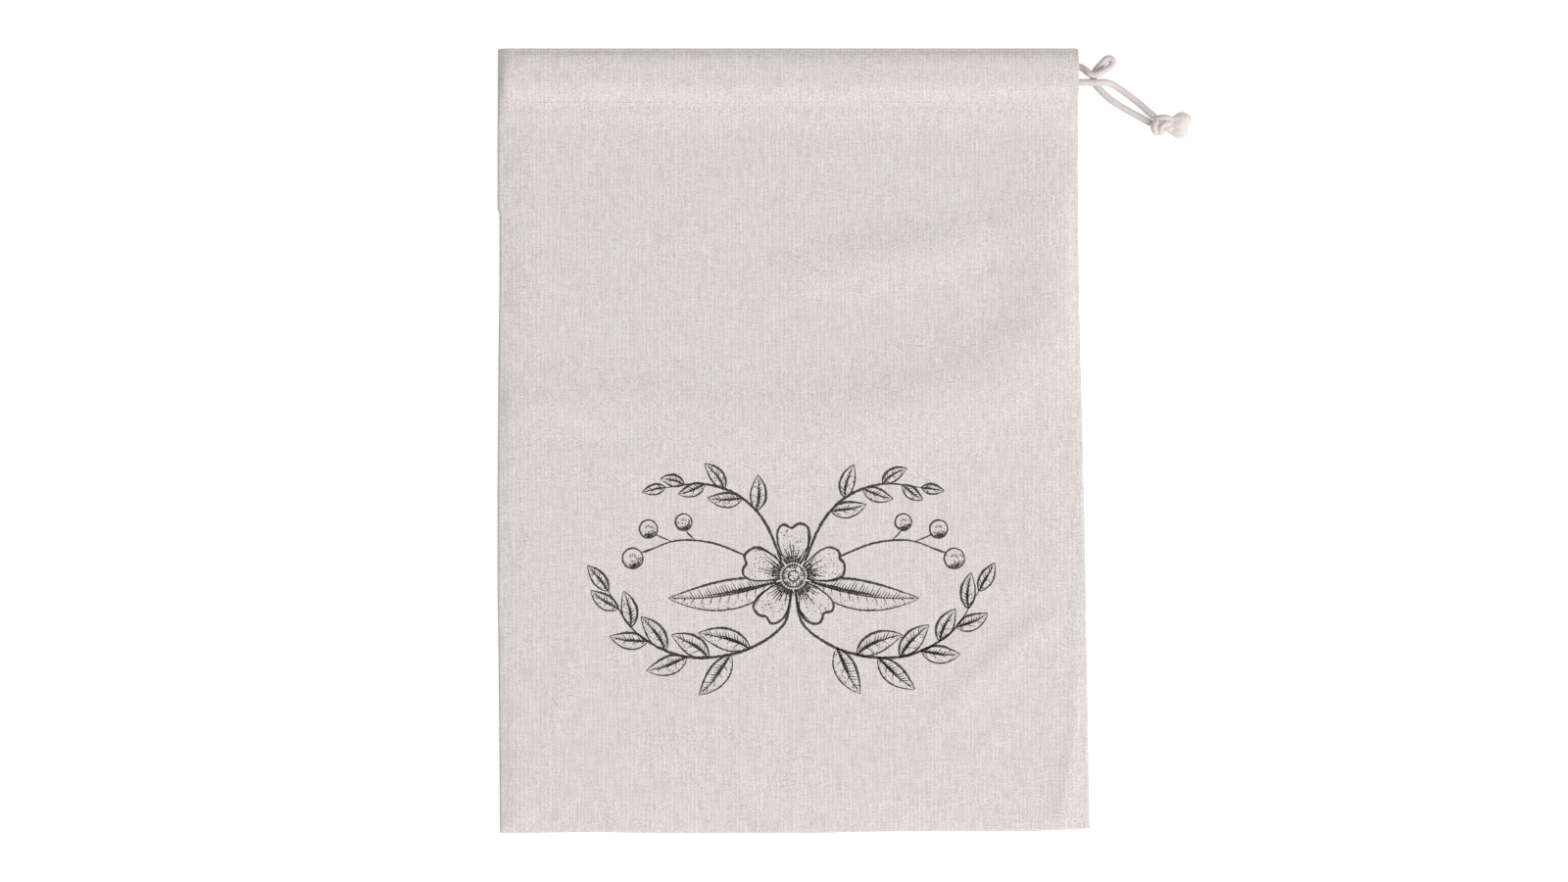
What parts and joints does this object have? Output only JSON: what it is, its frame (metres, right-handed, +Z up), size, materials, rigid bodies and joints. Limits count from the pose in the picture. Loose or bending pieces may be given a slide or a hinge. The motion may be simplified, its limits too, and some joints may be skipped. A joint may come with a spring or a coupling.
{
  "type": "drawstring bread bag",
  "caption": "Flat drawstring cloth bag for bread, lying on its back, with a hem at the mouth for the cord, a small bight, a knot and frayed cord ends.",
  "frame": {"origin": "middle of the bag's outline, cord ends left out, on the surface it lies on", "axes": "+X to the bag's right, where the cord leaves; +Y up the bag to its mouth; +Z up off the surface, out of the printed front"},
  "size_m": [0.3518, 0.4002, 0.0091],
  "materials": {
    "front_cloth": "matte",
    "back_cloth": "matte",
    "cord": "matte"
  },
  "bodies": {
    "root": {"front_panel": "front_cloth", "back_panel": "back_cloth", "drawcord_run": "cord", "drawcord_tail_front": "cord", "drawcord_tail_back": "cord", "drawcord_knot": "cord", "cord_end_upper": "cord", "cord_end_lower": "cord"}
  },
  "joints": []
}
